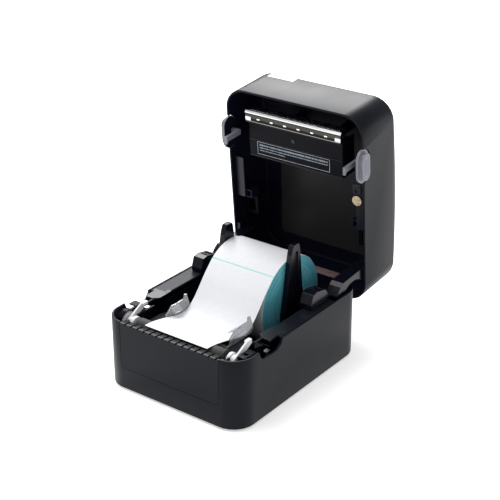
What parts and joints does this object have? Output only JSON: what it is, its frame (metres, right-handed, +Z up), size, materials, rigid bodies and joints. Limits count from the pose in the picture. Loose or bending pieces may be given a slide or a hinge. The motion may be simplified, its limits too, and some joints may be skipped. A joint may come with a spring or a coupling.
{
  "type": "receipt printer",
  "caption": "Desktop thermal label printer with its clamshell lid open, a label roll between centring arms and labels fed over the platen.",
  "frame": {"origin": "on the table under the feet, at the middle of the opened printer", "axes": "+X to the right seen from the front, the front faces -Y, +Z up"},
  "size_m": [0.1844, 0.2915, 0.2771],
  "materials": {
    "shell_black": "satin moulded grain",
    "inner_black": "satin",
    "deck_grey": "satin",
    "rubber_black": "matt",
    "button_grey": "satin",
    "nylon_white": "satin",
    "plain_steel": "bright",
    "head_aluminium": "brushed",
    "screw_brass": "bright",
    "label_paper": "smooth coated",
    "liner_paper": "smooth",
    "core_board": "matt",
    "smoked_window": "smoked, polished",
    "clear_grey": "translucent, polished",
    "board_green": "solder mask"
  },
  "bodies": {
    "root": {"base_housing": "shell_black", "base_tray": "shell_black", "foot_1": "rubber_black", "foot_2": "rubber_black", "foot_3": "rubber_black", "foot_4": "rubber_black", "front_panel": "shell_black", "media_bay": "inner_black", "paper_deck": "deck_grey", "deck_left": "deck_grey", "deck_right": "deck_grey", "side_block_left": "inner_black", "side_block_right": "inner_black", "side_frame_left": "inner_black", "side_frame_right": "inner_black", "latch_catch_left": "plain_steel", "latch_catch_right": "plain_steel", "stepper_motor": "plain_steel", "main_board": "board_green", "dc_inlet": "inner_black", "usb_socket": "plain_steel", "gap_sensor": "inner_black", "switch_bezel": "inner_black", "label_web": "label_paper", "hinge_pin_left": "plain_steel", "hinge_pin_right": "plain_steel", "idler_pin": "plain_steel"},
    "lid": {"lid_cover": "shell_black", "lid_window": "smoked_window", "head_spring_left": "plain_steel", "head_spring_right": "plain_steel", "lid_screw": "screw_brass", "front_sticker": "label_paper", "status_light": "clear_grey", "hinge_arm_left": "inner_black", "hinge_arm_right": "inner_black"},
    "head_assembly": {"head_bracket": "inner_black", "print_head": "head_aluminium", "head_heatsink": "head_aluminium"},
    "release_button_left": {"release_button_left": "button_grey"},
    "release_button_right": {"release_button_right": "button_grey"},
    "feed_button": {"feed_button": "button_grey"},
    "platen": {"platen_shaft": "plain_steel", "platen_rubber": "rubber_black", "platen_gear": "nylon_white"},
    "idler": {"idler_gear": "nylon_white"},
    "motor_pinion": {"motor_pinion": "nylon_white"},
    "bush_left": {"bush_left": "nylon_white"},
    "bush_right": {"bush_right": "nylon_white"},
    "label_roll": {"label_roll": "liner_paper", "roll_core": "core_board"},
    "roll_arm_left": {"roll_arm_left": "inner_black"},
    "roll_arm_right": {"roll_arm_right": "inner_black"},
    "arm_pinion": {"arm_pinion": "nylon_white"},
    "media_guide_left": {"media_guide_left": "clear_grey"},
    "media_guide_right": {"media_guide_right": "clear_grey"},
    "guide_pinion": {"guide_pinion": "nylon_white"},
    "power_rocker": {"power_rocker": "shell_black"}
  },
  "joints": [
    {"name": "lid_hinge", "type": "hinge", "parent": "root", "child": "lid", "pos_m": [0, 0.0645, 0.0604], "axis": [1, 0, 0], "range_deg": [0, 84.7]},
    {"name": "head_float", "type": "slide", "parent": "lid", "child": "head_assembly", "axis": [0, 0.9957, 0.0924], "range_m": [0, 0.0015], "stiffness_N_per_m": 3000, "deforming": ["head_spring_left", "head_spring_right"]},
    {"name": "release_left", "type": "slide", "parent": "lid", "child": "release_button_left", "axis": [1, 0, 0], "range_m": [0, 0.0026], "stiffness_N_per_m": 600},
    {"name": "release_right", "type": "slide", "parent": "lid", "child": "release_button_right", "axis": [-1, 0, 0], "range_m": [0, 0.0026], "stiffness_N_per_m": 600},
    {"name": "feed_press", "type": "slide", "parent": "lid", "child": "feed_button", "axis": [0, -0.9957, -0.0924], "range_m": [0, 0.001], "stiffness_N_per_m": 800},
    {"name": "platen_spin", "type": "hinge", "parent": "root", "child": "platen", "pos_m": [0, -0.1228, 0.0685], "axis": [1, 0, 0], "continuous": true},
    {"name": "idler_spin", "type": "hinge", "parent": "root", "child": "idler", "pos_m": [0, -0.1069, 0.05039], "axis": [1, 0, 0], "continuous": true},
    {"name": "motor_spin", "type": "hinge", "parent": "root", "child": "motor_pinion", "pos_m": [0, -0.1048, 0.0304], "axis": [1, 0, 0], "continuous": true},
    {"name": "bush_lever_left", "type": "hinge", "parent": "root", "child": "bush_left", "pos_m": [0, -0.1228, 0.0685], "axis": [1, 0, 0], "range_deg": [0, 60]},
    {"name": "bush_lever_right", "type": "hinge", "parent": "root", "child": "bush_right", "pos_m": [0, -0.1228, 0.0685], "axis": [1, 0, 0], "range_deg": [0, 60]},
    {"name": "roll_spin", "type": "hinge", "parent": "root", "child": "label_roll", "pos_m": [0, 0.0108, 0.0715], "axis": [1, 0, 0], "continuous": true},
    {"name": "roll_arm_left_slide", "type": "slide", "parent": "root", "child": "roll_arm_left", "axis": [-1, 0, 0], "range_m": [0, 0.018]},
    {"name": "roll_arm_right_slide", "type": "slide", "parent": "root", "child": "roll_arm_right", "axis": [1, 0, 0], "range_m": [0, 0.018]},
    {"name": "arm_pinion_spin", "type": "hinge", "parent": "root", "child": "arm_pinion", "pos_m": [0, 0.0108, 0.0181], "axis": [0, 0, 1], "range_deg": [0, 172]},
    {"name": "guide_left_slide", "type": "slide", "parent": "root", "child": "media_guide_left", "axis": [-1, 0, 0], "range_m": [0, 0.015]},
    {"name": "guide_right_slide", "type": "slide", "parent": "root", "child": "media_guide_right", "axis": [1, 0, 0], "range_m": [0, 0.015]},
    {"name": "guide_pinion_spin", "type": "hinge", "parent": "root", "child": "guide_pinion", "pos_m": [0, -0.0948, 0.066], "axis": [0, 0, 1], "range_deg": [0, 143.5]},
    {"name": "power_rock", "type": "hinge", "parent": "root", "child": "power_rocker", "pos_m": [0.052, 0.0747, 0.0155], "axis": [0, 0, 1], "range_deg": [0, 18]}
  ],
  "couplings": [
    {"joint": "idler_spin", "follows": "platen_spin", "ratio": -0.71429},
    {"joint": "motor_spin", "follows": "platen_spin", "ratio": 1.6667},
    {"joint": "roll_arm_right_slide", "follows": "roll_arm_left_slide", "ratio": 1},
    {"joint": "arm_pinion_spin", "follows": "roll_arm_left_slide", "rad_per_m": 166.67},
    {"joint": "guide_right_slide", "follows": "guide_left_slide", "ratio": 1},
    {"joint": "guide_pinion_spin", "follows": "guide_left_slide", "rad_per_m": 166.67}
  ]
}
